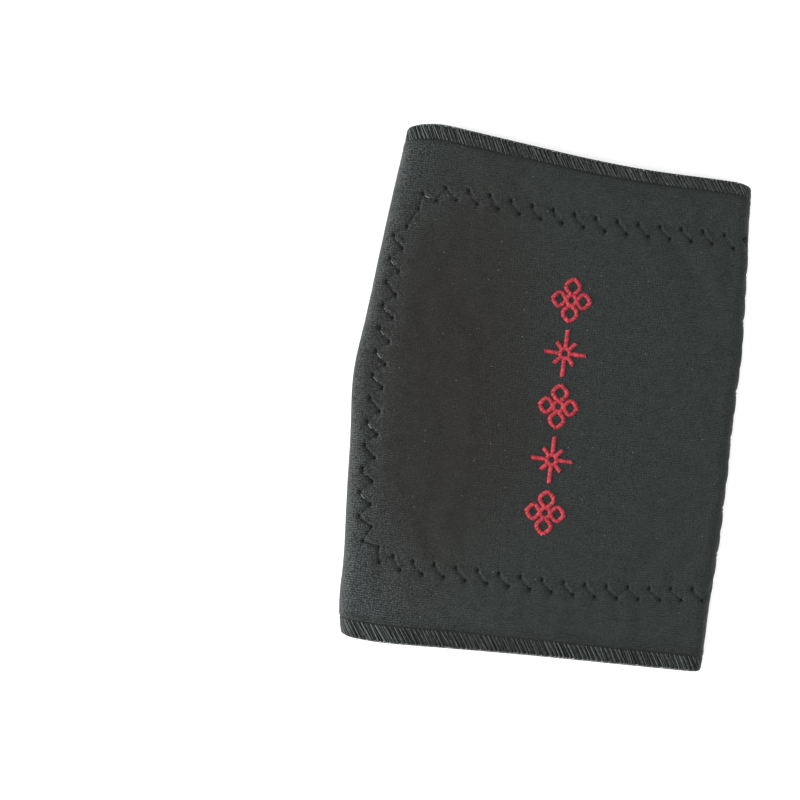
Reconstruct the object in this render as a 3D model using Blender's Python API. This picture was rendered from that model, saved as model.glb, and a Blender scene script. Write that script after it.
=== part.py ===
# Elbow sleeve of padded knit cloth, lying flat on its back.
# X runs across the sleeve, Y along it towards the upper mouth, Z up from the surface that it lies on.
# The origin is the middle of the underside. All sizes are in metres.

import math
from collections import namedtuple

import bpy
import bmesh
from mathutils import Vector

# Driving dimensions
SLEEVE_LENGTH = 0.2395      # from the highest point of the upper mouth to the lowest of the lower one
SLEEVE_WIDTH = 0.1772       # flat width at the widest places of the two folds
CLOTH_THICKNESS = 0.0030    # padded knit, one layer
HOLLOW_HEIGHT = 0.0065      # room between the two layers as it lies
CROWN_HEIGHT = 0.0015       # how far the middle of the front swells above its sides

UPPER_HEM_DEPTH = 0.0074    # overlock stitching, from the cut edge inwards
LOWER_HEM_DEPTH = 0.0084
PRESSED_THICKNESS = 0.0010  # cloth squeezed inside the overlock stitching
CLEARANCE = 0.0003          # between pieces that touch on the real sleeve

ZIGZAG_WIDTH = 0.0052       # across the zigzag, from corner to corner
ROW_STEP = 0.004975         # one leg of the zigzag, along the two rows that run across the sleeve
COLUMN_STEP = 0.0054        # and along the two columns, where the cloth was stretched less
CORNER_ROOM = 0.75          # legs left out where a side of the zigzag meets the next side
GROOVE_WIDTH = 0.0015       # dent that the zigzag presses into the cloth
GROOVE_DEPTH = 0.0008
PATCH_TURN = math.radians(104)  # how far round the right fold the far side of the patch is sewn

MOTIF_WIDTH = 0.0190
MOTIF_HEIGHT = 0.0215
MOTIF_SPACE = 0.0030        # between one motif and the next
MOTIF_OFFSET = 0.0065       # of the column of motifs from the middle, to the right
MOTIF_DROP = 0.0022         # of the middle motif below the middle of the sleeve
MOTIF_RISE = 0.0008         # thickness of the embroidery
STROKE_WIDTH = 0.0017       # of a satin-stitched line

# Steps round each part of the section, and along the sleeve
FRONT_STEPS = 15
FOLD_STEPS = 8
BACK_STEPS = 5
BODY_STEPS = 16

# Worked out from the driving dimensions
HALF_LENGTH = SLEEVE_LENGTH / 2
HALF_WIDTH = SLEEVE_WIDTH / 2
FOLD_RADIUS = CLOTH_THICKNESS + HOLLOW_HEIGHT / 2
PRESS_IN = (CLOTH_THICKNESS - PRESSED_THICKNESS) / 2
BAND_SKIN = PRESS_IN - CLEARANCE

# The two folds as the sleeve lies: along and the folds in shares of half the length and half the width,
# swell in shares of the crown height.
Section = namedtuple("Section", "along left right swell")
SECTIONS = (
    Section(-1.00, 0.895, 0.982, 0.70),
    Section(-0.87, 0.928, 0.989, 0.80),
    Section(-0.70, 0.934, 0.990, 0.90),
    Section(-0.45, 0.958, 1.000, 1.00),
    Section(-0.22, 0.978, 0.998, 1.00),
    Section(0.02, 1.000, 0.994, 1.00),
    Section(0.25, 0.970, 0.992, 1.00),
    Section(0.50, 0.940, 0.978, 1.00),
    Section(0.75, 0.908, 0.953, 0.90),
    Section(0.90, 0.886, 0.940, 0.80),
    Section(1.00, 0.872, 0.932, 0.70),
)

# The two cut edges: across from the left fold (-1) to the right fold (1), reach in shares of half the length,
# hem in shares of that mouth's hem depth.
Edge = namedtuple("Edge", "across reach hem")
UPPER_EDGE = (
    Edge(-1.00, 0.980, 1.00),
    Edge(-0.92, 0.993, 1.00),
    Edge(-0.82, 1.000, 1.00),
    Edge(-0.62, 0.987, 0.97),
    Edge(-0.30, 0.963, 0.92),
    Edge(0.05, 0.938, 0.87),
    Edge(0.40, 0.923, 0.83),
    Edge(0.90, 0.919, 0.80),
    Edge(1.00, 0.910, 0.80),
)
LOWER_EDGE = (
    Edge(-1.00, 0.989, 1.00),
    Edge(-0.92, 0.996, 1.00),
    Edge(-0.77, 1.000, 1.00),
    Edge(-0.36, 0.988, 0.95),
    Edge(0.05, 0.977, 0.90),
    Edge(0.50, 0.970, 0.88),
    Edge(1.00, 0.962, 0.86),
)

Mouth = namedtuple("Mouth", "side edge hem_depth")
UPPER = Mouth(1, UPPER_EDGE, UPPER_HEM_DEPTH)
LOWER = Mouth(-1, LOWER_EDGE, LOWER_HEM_DEPTH)

# The line that the patch is sewn along, in shares of half the width and half the length.
# The far side runs round the right fold, so its own column follows the fold.
Corner = namedtuple("Corner", "across along")
PATCH_TOP = (
    Corner(-0.809, 0.674),
    Corner(-0.70, 0.725),
    Corner(-0.55, 0.740),
    Corner(-0.13, 0.707),
    Corner(0.27, 0.690),
    Corner(0.72, 0.694),
    Corner(0.92, 0.684),
)
PATCH_LEFT = (
    Corner(-0.765, -0.668),
    Corner(-0.820, -0.603),
    Corner(-0.855, -0.50),
    Corner(-0.864, -0.30),
    Corner(-0.870, 0.00),
    Corner(-0.862, 0.24),
    Corner(-0.855, 0.53),
    Corner(-0.839, 0.618),
    Corner(-0.809, 0.674),
)
PATCH_BOTTOM = (
    Corner(-0.765, -0.668),
    Corner(-0.65, -0.691),
    Corner(-0.525, -0.698),
    Corner(-0.20, -0.702),
    Corner(0.27, -0.705),
    Corner(0.60, -0.692),
    Corner(0.92, -0.668),
)

# Embroidered ornaments, from the top one down
MOTIF_KINDS = ("flower", "star", "flower", "star", "flower")
# A flower's petals: the turn of each from straight up in degrees, its length and its width, in shares of half
# the motif's height and width.
Petal = namedtuple("Petal", "turn reach breadth")
PETALS = (
    Petal(0, 1.00, 0.34),
    Petal(90, 1.00, 0.34),
    Petal(180, 1.00, 0.34),
    Petal(270, 1.00, 0.34),
)
RAY_COUNT = 8
LONG_RAY = 1.00
SHORT_RAY = 0.66
HEART_SHARE = 0.24          # of the ring in the middle of a motif, to its half width
HEART_SIDES = 8
PETAL_STEPS = 5

CLOTH_COLOUR = (0.036, 0.040, 0.039)
OVERLOCK_COLOUR = (0.060, 0.070, 0.069)
MOTIF_COLOUR = (0.58, 0.035, 0.050)


def remove_everything():
    for item in list(bpy.data.objects):
        bpy.data.objects.remove(item, do_unlink=True)
    for mesh in list(bpy.data.meshes):
        bpy.data.meshes.remove(mesh)


def make_material(name, colour, roughness):
    material = bpy.data.materials.new(name)
    material.use_nodes = True
    shader = material.node_tree.nodes["Principled BSDF"]
    shader.inputs["Base Color"].default_value = (*colour, 1.0)
    shader.inputs["Roughness"].default_value = roughness
    shader.inputs["Metallic"].default_value = 0.0
    return material


def mix(low, high, share):
    return low + (high - low) * share


def read_table(rows, column, position):
    """Value of a column at a position along the table's first column, on a smooth curve through the rows"""
    places = [row[0] for row in rows]
    values = [getattr(row, column) for row in rows]
    if position <= places[0]:
        return values[0]
    if position >= places[-1]:
        return values[-1]
    index = next(i for i in range(len(places) - 1) if position <= places[i + 1])

    def slope(i):
        low = max(i - 1, 0)
        high = min(i + 1, len(places) - 1)
        return (values[high] - values[low]) / (places[high] - places[low])

    span = places[index + 1] - places[index]
    share = (position - places[index]) / span
    rest = 1 - share
    ends = values[index] * (1 + 2 * share) * rest ** 2 + values[index + 1] * (1 + 2 * rest) * share ** 2
    turns = slope(index) * span * share * rest ** 2 - slope(index + 1) * span * rest * share ** 2
    return ends + turns


def folds_at(y):
    """X of the left and the right fold at a height along the sleeve"""
    along = y / HALF_LENGTH
    return (-HALF_WIDTH * read_table(SECTIONS, "left", along), HALF_WIDTH * read_table(SECTIONS, "right", along))


def crown_at(x, y):
    """How far the front swells above the top of the folds"""
    left, right = folds_at(y)
    middle = (left + right) / 2
    flat = (right - left) / 2 - FOLD_RADIUS
    share = max(-1.0, min(1.0, (x - middle) / flat))
    swell = CROWN_HEIGHT * read_table(SECTIONS, "swell", y / HALF_LENGTH)
    return swell * math.cos(share * math.pi / 2) ** 2


def point_on_sleeve(walk, y, lift=0.0):
    """Point on the outer surface, or lift above it.

    walk is measured flat across the front from its middle, and on round the folds and under the back.
    """
    left, right = folds_at(y)
    side = 1 if walk >= (left + right) / 2 else -1
    flat = (right if side > 0 else -left) - FOLD_RADIUS
    past = side * walk - flat
    if past <= 0:
        return Vector((walk, y, 2 * FOLD_RADIUS + crown_at(walk, y) + lift))
    angle = past / FOLD_RADIUS
    if angle <= math.pi:
        reach = FOLD_RADIUS + lift
        return Vector((side * (flat + reach * math.sin(angle)), y, FOLD_RADIUS + reach * math.cos(angle)))
    return Vector((side * (flat - (past - math.pi * FOLD_RADIUS)), y, -lift))


def walk_of_turn(y, angle):
    """The walk that lies a given angle round the right fold"""
    return folds_at(y)[1] - FOLD_RADIUS + FOLD_RADIUS * angle


# A column of the section's grid: which stretch it is on, how far along it, and how far across the sleeve
Column = namedtuple("Column", "stretch share across")


def section_columns():
    flat_share = 1 - FOLD_RADIUS / HALF_WIDTH

    def fold_across(share):
        return mix(flat_share, 1, math.sin(share * math.pi))

    columns = []
    for step in range(FRONT_STEPS):
        share = step / FRONT_STEPS
        columns.append(Column("front", share, mix(-flat_share, flat_share, share)))
    for step in range(FOLD_STEPS):
        share = step / FOLD_STEPS
        columns.append(Column("right", share, fold_across(share)))
    for step in range(BACK_STEPS):
        share = step / BACK_STEPS
        columns.append(Column("back", share, mix(flat_share, -flat_share, share)))
    for step in range(FOLD_STEPS):
        share = step / FOLD_STEPS
        columns.append(Column("left", share, -fold_across(share)))
    return columns


def column_point(column, y, lift):
    left, right = folds_at(y)
    low = left + FOLD_RADIUS
    high = right - FOLD_RADIUS
    half_turn = math.pi * FOLD_RADIUS
    if column.stretch == "front":
        return point_on_sleeve(mix(low, high, column.share), y, lift)
    if column.stretch == "right":
        return point_on_sleeve(high + half_turn * column.share, y, lift)
    if column.stretch == "left":
        return point_on_sleeve(low - half_turn * (1 - column.share), y, lift)
    return Vector((mix(high, low, column.share), y, -lift))


def edge_line(mouth, inset):
    """Y of the line that lies inset inside a mouth's stitched edge, as a function of across"""
    def line(across):
        return mouth.side * (HALF_LENGTH * read_table(mouth.edge, "reach", across) - inset)
    return line


def hem_line(mouth, gap=0.0):
    """Y of the inner side of a mouth's overlock stitching, or a gap short of it"""
    def line(across):
        depth = mouth.hem_depth * read_table(mouth.edge, "hem", across) - gap
        return edge_line(mouth, depth)(across)
    return line


def body_line(share):
    def line(across):
        return mix(hem_line(LOWER)(across), hem_line(UPPER)(across), share)
    return line


def make_object(name, mesh_builder, material):
    mesh = bpy.data.meshes.new(name)
    mesh_builder.to_mesh(mesh)
    mesh_builder.free()
    mesh.materials.append(material)
    item = bpy.data.objects.new(name, mesh)
    bpy.context.collection.objects.link(item)
    return item


def make_tube(name, profile, material):
    """Closed tube: a profile of (line, lift) points, which runs along the cloth, swept round the section"""
    builder = bmesh.new()
    rings = []
    for column in section_columns():
        ring = []
        for line, lift in profile:
            ring.append(builder.verts.new(column_point(column, line(column.across), lift)))
        rings.append(ring)
    for index, ring in enumerate(rings):
        following = rings[(index + 1) % len(rings)]
        for place in range(len(profile)):
            after = (place + 1) % len(profile)
            builder.faces.new((ring[place], following[place], following[after], ring[after]))
    bmesh.ops.recalc_face_normals(builder, faces=builder.faces)
    item = make_object(name, builder, material)
    item.data.shade_smooth()
    item.data.set_sharp_from_angle(angle=math.radians(40))
    return item


def sleeve_profile():
    """Once along the outside from the lower mouth to the upper one, and back along the inside"""
    cloth_end = BAND_SKIN + CLEARANCE
    outside = [(edge_line(LOWER, cloth_end), -PRESS_IN), (hem_line(LOWER), -PRESS_IN)]
    for step in range(BODY_STEPS + 1):
        outside.append((body_line(step / BODY_STEPS), 0.0))
    outside.append((hem_line(UPPER), -PRESS_IN))
    outside.append((edge_line(UPPER, cloth_end), -PRESS_IN))
    inside = [(line, -CLOTH_THICKNESS - lift) for line, lift in reversed(outside)]
    return outside + inside


def overlock_profile(mouth):
    """U-shaped band round the squeezed cloth: outer lip, rounded end, inner lip"""
    far = hem_line(mouth, CLEARANCE)
    corner = edge_line(mouth, BAND_SKIN)
    end = edge_line(mouth, 0.0)
    middle = -CLOTH_THICKNESS / 2
    outer = CLOTH_THICKNESS / 2
    inner = PRESSED_THICKNESS / 2 + CLEARANCE
    round_off = outer - BAND_SKIN
    return [
        (far, middle + outer),
        (corner, middle + outer),
        (end, middle + round_off),
        (end, middle - round_off),
        (corner, middle - outer),
        (far, middle - outer),
        (far, middle - inner),
        (corner, middle - inner),
        (corner, middle + inner),
        (far, middle + inner),
    ]


def smooth_side(corners, pieces=8):
    """Points along a side of the patch, in metres, on a smooth curve through its corners"""
    points = []
    for index in range(len(corners) - 1):
        before = corners[max(index - 1, 0)]
        start = corners[index]
        end = corners[index + 1]
        after = corners[min(index + 2, len(corners) - 1)]
        for step in range(pieces):
            share = step / pieces
            weights = (
                -0.5 * share + share ** 2 - 0.5 * share ** 3,
                1 - 2.5 * share ** 2 + 1.5 * share ** 3,
                0.5 * share + 2 * share ** 2 - 1.5 * share ** 3,
                -0.5 * share ** 2 + 0.5 * share ** 3,
            )
            across = sum(w * c.across for w, c in zip(weights, (before, start, end, after)))
            along = sum(w * c.along for w, c in zip(weights, (before, start, end, after)))
            points.append(Vector((across * HALF_WIDTH, along * HALF_LENGTH)))
    points.append(Vector((corners[-1].across * HALF_WIDTH, corners[-1].along * HALF_LENGTH)))
    return points


def far_side(top_y, bottom_y):
    """The patch's side that runs round the right fold, from its top end down"""
    points = []
    for step in range(BODY_STEPS + 1):
        y = mix(top_y, bottom_y, step / BODY_STEPS)
        points.append(Vector((walk_of_turn(y, PATCH_TURN), y)))
    return points


def zigzag_corners(side_points, leg_length):
    """Corners of the zigzag along one side of the patch, without the side's own two ends"""
    lengths = [0.0]
    for start, end in zip(side_points, side_points[1:]):
        lengths.append(lengths[-1] + (end - start).length)
    corners = []
    for leg in range(max(1, math.floor(lengths[-1] / leg_length - CORNER_ROOM))):
        distance = leg_length * (leg + 0.5)
        index = next(i for i in range(len(lengths) - 1) if distance <= lengths[i + 1])
        start = side_points[index]
        end = side_points[index + 1]
        share = (distance - lengths[index]) / (lengths[index + 1] - lengths[index])
        heading = (end - start).normalized()
        sideways = Vector((heading.y, -heading.x))
        swing = ZIGZAG_WIDTH / 2 if leg % 2 == 0 else -ZIGZAG_WIDTH / 2
        corners.append(start.lerp(end, share) + sideways * swing)
    return corners


def zigzag_path():
    """The whole closed zigzag as points of (walk, y), from the upper left corner of the patch to the right"""
    top = smooth_side(PATCH_TOP)
    bottom = smooth_side(PATCH_BOTTOM)
    left = smooth_side(PATCH_LEFT)
    right = far_side(top[-1].y, bottom[-1].y)
    top.append(right[0])
    bottom.append(right[-1])
    path = zigzag_corners(top, ROW_STEP) + zigzag_corners(right, COLUMN_STEP)
    path += zigzag_corners(bottom, ROW_STEP)[::-1] + zigzag_corners(left, COLUMN_STEP)
    return path


def refine_on_fold(path):
    """Halve the legs that cross a curved fold, so that a straight groove follows it"""
    refined = []
    for index, point in enumerate(path):
        following = path[(index + 1) % len(path)]
        refined.append(point)
        left, right = folds_at(point.y)
        nearest = min(point.x, following.x)
        farthest = max(point.x, following.x)
        if farthest > right - FOLD_RADIUS or nearest < left + FOLD_RADIUS:
            refined.append((point + following) / 2)
    return refined


def make_groove_cutter(path):
    """Closed chain with a V-shaped section, its point GROOVE_DEPTH under the surface"""
    builder = bmesh.new()
    sections = []
    half = GROOVE_WIDTH / 2
    above = GROOVE_DEPTH
    spread = half * (above + GROOVE_DEPTH) / GROOVE_DEPTH
    for index, point in enumerate(path):
        before = (point - path[index - 1]).normalized()
        after = (path[(index + 1) % len(path)] - point).normalized()
        heading = (before + after).normalized()
        sideways = Vector((heading.y, -heading.x))
        reach = spread / max(heading.dot(after), 0.5)
        section = []
        for shift, lift in ((reach, above), (-reach, above), (0.0, -GROOVE_DEPTH)):
            place = point + sideways * shift
            section.append(builder.verts.new(point_on_sleeve(place.x, place.y, lift)))
        sections.append(section)
    for index, section in enumerate(sections):
        following = sections[(index + 1) % len(sections)]
        for place in range(3):
            after = (place + 1) % 3
            builder.faces.new((section[place], following[place], following[after], section[after]))
    bmesh.ops.recalc_face_normals(builder, faces=builder.faces)
    return builder


def hide_cutter(item):
    item.hide_render = True
    item.display_type = "WIRE"


def make_sleeve(material):
    sleeve = make_tube("sleeve", sleeve_profile(), material)
    cutter = make_object("zigzag_cutter", make_groove_cutter(refine_on_fold(zigzag_path())), material)
    hide_cutter(cutter)
    cut = sleeve.modifiers.new("zigzag", "BOOLEAN")
    cut.operation = "DIFFERENCE"
    cut.solver = "EXACT"
    cut.object = cutter
    return sleeve


def petal_outline(petal):
    """Closed leaf shape from the middle of the motif to the petal's tip, along its middle line"""
    turn = math.radians(petal.turn)
    ahead = Vector((math.sin(turn), math.cos(turn)))
    aside = Vector((ahead.y, -ahead.x))
    half_size = Vector((MOTIF_WIDTH / 2, MOTIF_HEIGHT / 2))
    length = petal.reach * abs(ahead.x * half_size.x + ahead.y * half_size.y) - STROKE_WIDTH / 2
    breadth = petal.breadth * MOTIF_WIDTH / 2
    root = HEART_SHARE * MOTIF_WIDTH / 2
    points = []
    for hand in (1, -1):
        for step in range(PETAL_STEPS):
            share = step / PETAL_STEPS if hand > 0 else 1 - step / PETAL_STEPS
            bow = math.sin(math.pi * share)
            points.append(ahead * mix(root, length, share) + aside * hand * breadth * bow)
    return points


def ray_outline(index):
    """Straight stroke from the heart to the edge of the motif's diamond-shaped space"""
    turn = 2 * math.pi * index / RAY_COUNT
    ahead = Vector((math.sin(turn) * MOTIF_WIDTH / 2, math.cos(turn) * MOTIF_HEIGHT / 2))
    reach = LONG_RAY if index % 2 == 0 else SHORT_RAY
    start = ahead.normalized() * HEART_SHARE * MOTIF_WIDTH / 2
    return [start, ahead * reach]


def heart_outline():
    radius = HEART_SHARE * MOTIF_WIDTH / 2
    points = []
    for side in range(HEART_SIDES):
        turn = 2 * math.pi * (side + 0.5) / HEART_SIDES
        points.append(Vector((radius * math.sin(turn), radius * math.cos(turn))))
    return points


def make_stroke(name, points, closed, centre, material):
    """Flat stroke of STROKE_WIDTH along a line of points"""
    builder = bmesh.new()
    last = len(points) - 1
    sections = []
    for index, point in enumerate(points):
        before = point - points[index - 1] if closed or index > 0 else points[1] - points[0]
        after = points[(index + 1) % len(points)] - point if closed or index < last else before
        before = before.normalized()
        after = after.normalized()
        heading = (before + after).normalized()
        sideways = Vector((heading.y, -heading.x)) * STROKE_WIDTH / 2 / max(heading.dot(after), 0.6)
        section = []
        for shift, lift in ((1, 0.0), (1, MOTIF_RISE), (-1, MOTIF_RISE), (-1, 0.0)):
            place = point + sideways * shift
            section.append(builder.verts.new(centre + Vector((place.x, place.y, lift))))
        sections.append(section)
    pairs = len(sections) if closed else len(sections) - 1
    for index in range(pairs):
        section = sections[index]
        following = sections[(index + 1) % len(sections)]
        for place in range(4):
            after = (place + 1) % 4
            builder.faces.new((section[place], following[place], following[after], section[after]))
    if not closed:
        builder.faces.new(sections[0])
        builder.faces.new(sections[-1])
    bmesh.ops.recalc_face_normals(builder, faces=builder.faces)
    return make_object(name, builder, material)


def motif_centre(index):
    """Place of a motif's underside, clear of the highest cloth below it"""
    pitch = MOTIF_HEIGHT + MOTIF_SPACE
    x = MOTIF_OFFSET
    y = pitch * ((len(MOTIF_KINDS) - 1) / 2 - index) - MOTIF_DROP
    highest = 0.0
    for across in (-1, 0, 1):
        for along in (-1, 0, 1):
            place = point_on_sleeve(x + across * MOTIF_WIDTH / 2, y + along * MOTIF_HEIGHT / 2)
            highest = max(highest, place.z)
    return Vector((x, y, highest + CLEARANCE))


def make_motif(index, kind, material):
    centre = motif_centre(index)
    name = f"motif_{index + 1}"
    motif = make_stroke(name, heart_outline(), True, centre, material)
    if kind == "flower":
        strokes = [(petal_outline(petal), True) for petal in PETALS]
    else:
        strokes = [(ray_outline(ray), False) for ray in range(RAY_COUNT)]
    for number, (points, closed) in enumerate(strokes):
        stroke = make_stroke(f"{name}_stroke_{number + 1}", points, closed, centre, material)
        hide_cutter(stroke)
        joined = motif.modifiers.new(f"stroke_{number + 1}", "BOOLEAN")
        joined.operation = "UNION"
        joined.solver = "EXACT"
        joined.object = stroke
    return motif


def main():
    remove_everything()
    cloth = make_material("padded_knit", CLOTH_COLOUR, 0.92)
    overlock = make_material("overlock_thread", OVERLOCK_COLOUR, 0.70)
    embroidery = make_material("embroidery_thread", MOTIF_COLOUR, 0.45)
    make_sleeve(cloth)
    make_tube("upper_overlock", overlock_profile(UPPER), overlock)
    make_tube("lower_overlock", overlock_profile(LOWER), overlock)
    for index, kind in enumerate(MOTIF_KINDS):
        make_motif(index, kind, embroidery)


main()
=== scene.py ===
import bisect
import math
import random

import bmesh
import bpy
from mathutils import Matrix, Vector, kdtree, noise


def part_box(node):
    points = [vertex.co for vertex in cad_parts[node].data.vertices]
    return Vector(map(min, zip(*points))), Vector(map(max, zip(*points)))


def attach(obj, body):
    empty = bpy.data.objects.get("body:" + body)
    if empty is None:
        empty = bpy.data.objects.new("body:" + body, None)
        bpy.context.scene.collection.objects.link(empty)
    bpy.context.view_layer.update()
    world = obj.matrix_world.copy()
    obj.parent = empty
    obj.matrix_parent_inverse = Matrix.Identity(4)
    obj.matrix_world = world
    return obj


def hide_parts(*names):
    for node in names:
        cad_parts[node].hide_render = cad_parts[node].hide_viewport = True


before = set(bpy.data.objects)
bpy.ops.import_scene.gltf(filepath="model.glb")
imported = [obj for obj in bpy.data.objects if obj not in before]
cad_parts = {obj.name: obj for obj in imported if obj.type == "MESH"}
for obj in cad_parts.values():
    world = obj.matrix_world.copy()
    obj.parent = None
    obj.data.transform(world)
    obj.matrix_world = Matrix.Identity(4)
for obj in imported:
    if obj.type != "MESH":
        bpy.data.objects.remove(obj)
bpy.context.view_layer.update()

mm = 0.001
sleeveLow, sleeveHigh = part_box("sleeve")
motifBox = (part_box("motif_5")[0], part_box("motif_1")[1])
print("frame loaded, the sleeve is", round((sleeveHigh.x - sleeveLow.x) / mm), "mm wide")


# The sleeve's form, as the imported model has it: lengths in metres, the two tables in shares
form = {
    "halfWidth": (sleeveHigh.x - sleeveLow.x) / 2,
    "halfLength": (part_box("upper_overlock")[1].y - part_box("lower_overlock")[0].y) / 2,
    "cloth": 3.0 * mm,
    "crown": 1.5 * mm,
    "hem": {"upper": 7.4 * mm, "lower": 8.4 * mm},
    "lowest": 0.02 * mm,      # nothing of the sleeve is nearer to the floor
    "weld": 0.002 * mm,
}
form["foldRadius"] = (sleeveHigh.z - form["crown"]) / 2

# along, left fold, right fold, swell of the crown
sections = [
    (-1.00, 0.895, 0.982, 0.70),
    (-0.87, 0.928, 0.989, 0.80),
    (-0.70, 0.934, 0.990, 0.90),
    (-0.45, 0.958, 1.000, 1.00),
    (-0.22, 0.978, 0.998, 1.00),
    (0.02, 1.000, 0.994, 1.00),
    (0.25, 0.970, 0.992, 1.00),
    (0.50, 0.940, 0.978, 1.00),
    (0.75, 0.908, 0.953, 0.90),
    (0.90, 0.886, 0.940, 0.80),
    (1.00, 0.872, 0.932, 0.70),
]
# across, reach of the cut edge, depth of the hem
edges = {
    "upper": [
        (-1.00, 0.980, 1.00),
        (-0.92, 0.993, 1.00),
        (-0.82, 1.000, 1.00),
        (-0.62, 0.987, 0.97),
        (-0.30, 0.963, 0.92),
        (0.05, 0.938, 0.87),
        (0.40, 0.923, 0.83),
        (0.90, 0.919, 0.80),
        (1.00, 0.910, 0.80),
    ],
    "lower": [
        (-1.00, 0.989, 1.00),
        (-0.92, 0.996, 1.00),
        (-0.77, 1.000, 1.00),
        (-0.36, 0.988, 0.95),
        (0.05, 0.977, 0.90),
        (0.50, 0.970, 0.88),
        (1.00, 0.962, 0.86),
    ],
}
side = {"upper": 1, "lower": -1}


def meshOf(grid, name):
    mesh = bpy.data.meshes.new(name)
    grid.to_mesh(mesh)
    grid.free()
    return mesh


def addObject(name, data):
    item = bpy.data.objects.new(name, data)
    bpy.context.collection.objects.link(item)
    return item


def mix(low, high, share):
    return low + (high - low) * share


def smoothStep(share):
    share = min(1.0, max(0.0, share))
    return share * share * (3 - 2 * share)


def readTable(rows, column, place):
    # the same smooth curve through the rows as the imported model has
    if place <= rows[0][0]:
        return rows[0][column]
    if place >= rows[-1][0]:
        return rows[-1][column]
    k = 0
    while place > rows[k + 1][0]:
        k += 1

    def slope(i):
        low, high = rows[max(i - 1, 0)], rows[min(i + 1, len(rows) - 1)]
        return (high[column] - low[column]) / (high[0] - low[0])

    span = rows[k + 1][0] - rows[k][0]
    t = (place - rows[k][0]) / span
    rest = 1 - t
    ends = rows[k][column] * (1 + 2 * t) * rest ** 2 + rows[k + 1][column] * (1 + 2 * rest) * t ** 2
    return ends + span * t * rest * (slope(k) * rest - slope(k + 1) * t)


def foldsAt(y):
    # walk of the left fold's and of the right fold's outermost line
    left, right = (readTable(sections, column, y / form["halfLength"]) for column in (1, 2))
    return -form["halfWidth"] * left, form["halfWidth"] * right


def crownAt(x, y):
    left, right = foldsAt(y)
    flat = (right - left) / 2 - form["foldRadius"]
    share = max(-1.0, min(1.0, (x - (left + right) / 2) / flat))
    swell = readTable(sections, 3, y / form["halfLength"])
    return form["crown"] * swell * math.cos(share * math.pi / 2) ** 2


def onSleeve(walk, y, lift=0.0):
    # walk is flat across the front, then round a fold and on under the back
    left, right = foldsAt(y)
    radius = form["foldRadius"]
    hand = 1 if walk >= (left + right) / 2 else -1
    flat = (right if hand > 0 else -left) - radius
    past = hand * walk - flat
    if past <= 0:
        return Vector((walk, y, 2 * radius + crownAt(walk, y) + lift))
    turn = past / radius
    if turn <= math.pi:
        reach = radius + lift
        return Vector((hand * (flat + reach * math.sin(turn)), y, radius + reach * math.cos(turn)))
    return Vector((hand * (flat - (past - math.pi * radius)), y, -lift))


# Columns round the section, from the middle of the back:
# under to the left fold, up it, over the front, down the right fold and back under
columns = {"back": 22, "fold": 14, "front": 106}
columnCount = 2 * columns["back"] + 2 * columns["fold"] + columns["front"]


def columnPlace(column, y):
    # how far across the sleeve a column is, -1 to 1, and its walk at that height
    left, right = foldsAt(y)
    radius = form["foldRadius"]
    halfTurn = math.pi * radius
    low, high = left + radius, right - radius
    middle = (low + high) / 2
    flatShare = 1 - radius / form["halfWidth"]
    back, fold, front = columns["back"], columns["fold"], columns["front"]
    if column < back:
        share = column / back
        return -flatShare * share, low - halfTurn - (middle - low) * (1 - share)
    column -= back
    if column < fold:
        share = column / fold
        return -mix(flatShare, 1, math.sin(share * math.pi)), low - halfTurn * (1 - share)
    column -= fold
    if column <= front:
        share = column / front
        return mix(-flatShare, flatShare, share), mix(low, high, share)
    column -= front
    if column <= fold:
        share = column / fold
        return mix(flatShare, 1, math.sin(share * math.pi)), high + halfTurn * share
    share = (column - fold) / back
    return flatShare * (1 - share), high + halfTurn + (high - middle) * share


def edgeY(mouth, across, inset):
    return side[mouth] * (form["halfLength"] * readTable(edges[mouth], 1, across) - inset)


def hemDepth(mouth, across):
    return form["hem"][mouth] * readTable(edges[mouth], 2, across)


# The line the inner patch is sewn along, in shares of half the width and half the length
patch = {
    "top": [
        (-0.809, 0.674), (-0.70, 0.725), (-0.55, 0.740), (-0.13, 0.707),
        (0.27, 0.690), (0.72, 0.694), (0.92, 0.684),
    ],
    "left": [
        (-0.765, -0.668), (-0.820, -0.603), (-0.855, -0.50), (-0.864, -0.30), (-0.870, 0.00),
        (-0.862, 0.24), (-0.855, 0.53), (-0.839, 0.618), (-0.809, 0.674),
    ],
    "bottom": [
        (-0.765, -0.668), (-0.65, -0.691), (-0.525, -0.698), (-0.20, -0.702),
        (0.27, -0.705), (0.60, -0.692), (0.92, -0.668),
    ],
    "turn": math.radians(104),   # where the right side lies, round the right fold
    "rightPieces": 16,
    "zigzagWidth": 5.2 * mm,
    "rowStep": 4.975 * mm,       # a leg, along the rows that run across
    "columnStep": 5.4 * mm,
    "cornerRoom": 0.75,          # legs left out where two sides meet
    "doubledFrom": -0.86,        # the cloth is doubled inside the line, with soft limits
    "doubledSoft": 0.03,
}


def curveThrough(points, pieces=8):
    # walk and y, in metres, along a smooth curve through points in shares
    found = []
    for k in range(len(points) - 1):
        four = [points[max(k - 1, 0)], points[k], points[k + 1], points[min(k + 2, len(points) - 1)]]
        for step in range(pieces):
            t = step / pieces
            weights = (
                -0.5 * t + t ** 2 - 0.5 * t ** 3,
                1 - 2.5 * t ** 2 + 1.5 * t ** 3,
                0.5 * t + 2 * t ** 2 - 1.5 * t ** 3,
                -0.5 * t ** 2 + 0.5 * t ** 3,
            )
            across = sum(w * p[0] for w, p in zip(weights, four))
            along = sum(w * p[1] for w, p in zip(weights, four))
            found.append(Vector((across * form["halfWidth"], along * form["halfLength"])))
    found.append(Vector((points[-1][0] * form["halfWidth"], points[-1][1] * form["halfLength"])))
    return found


def lengthsAlong(points):
    # distance along a line at each of its points
    lengths = [0.0]
    for start, end in zip(points, points[1:]):
        lengths.append(lengths[-1] + (end - start).length)
    return lengths


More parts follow.
